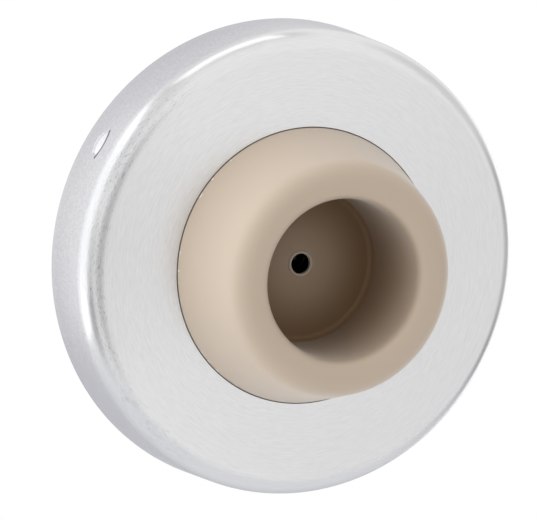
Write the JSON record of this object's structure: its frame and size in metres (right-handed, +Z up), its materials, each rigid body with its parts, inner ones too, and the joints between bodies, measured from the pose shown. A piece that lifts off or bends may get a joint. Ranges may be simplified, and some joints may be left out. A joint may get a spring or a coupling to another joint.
{
  "type": "wall door stop",
  "caption": "Round concave wall door stop: drawn satin steel housing, tan rubber ring bumper with a deep recess, pressed retainer behind, held to the wall by a screw through its middle.",
  "frame": {"origin": "on the stop's own axis, at the wall plane: the middle of the back rim's circle, where the screw leaves the stop", "axes": "+Y along the stop's axis, into the wall; the stop faces -Y; +Z up"},
  "size_m": [0.062, 0.0549, 0.062],
  "materials": {
    "housing_metal": "satin, with fine scratches that run round the face",
    "bumper_rubber": "matt moulded, tan",
    "retainer_steel": "bright zinc plate",
    "screw_steel": "bright zinc plate"
  },
  "bodies": {
    "root": {"housing": "housing_metal", "bumper": "bumper_rubber", "retainer_cup": "retainer_steel", "mounting_screw": "screw_steel"}
  },
  "joints": []
}
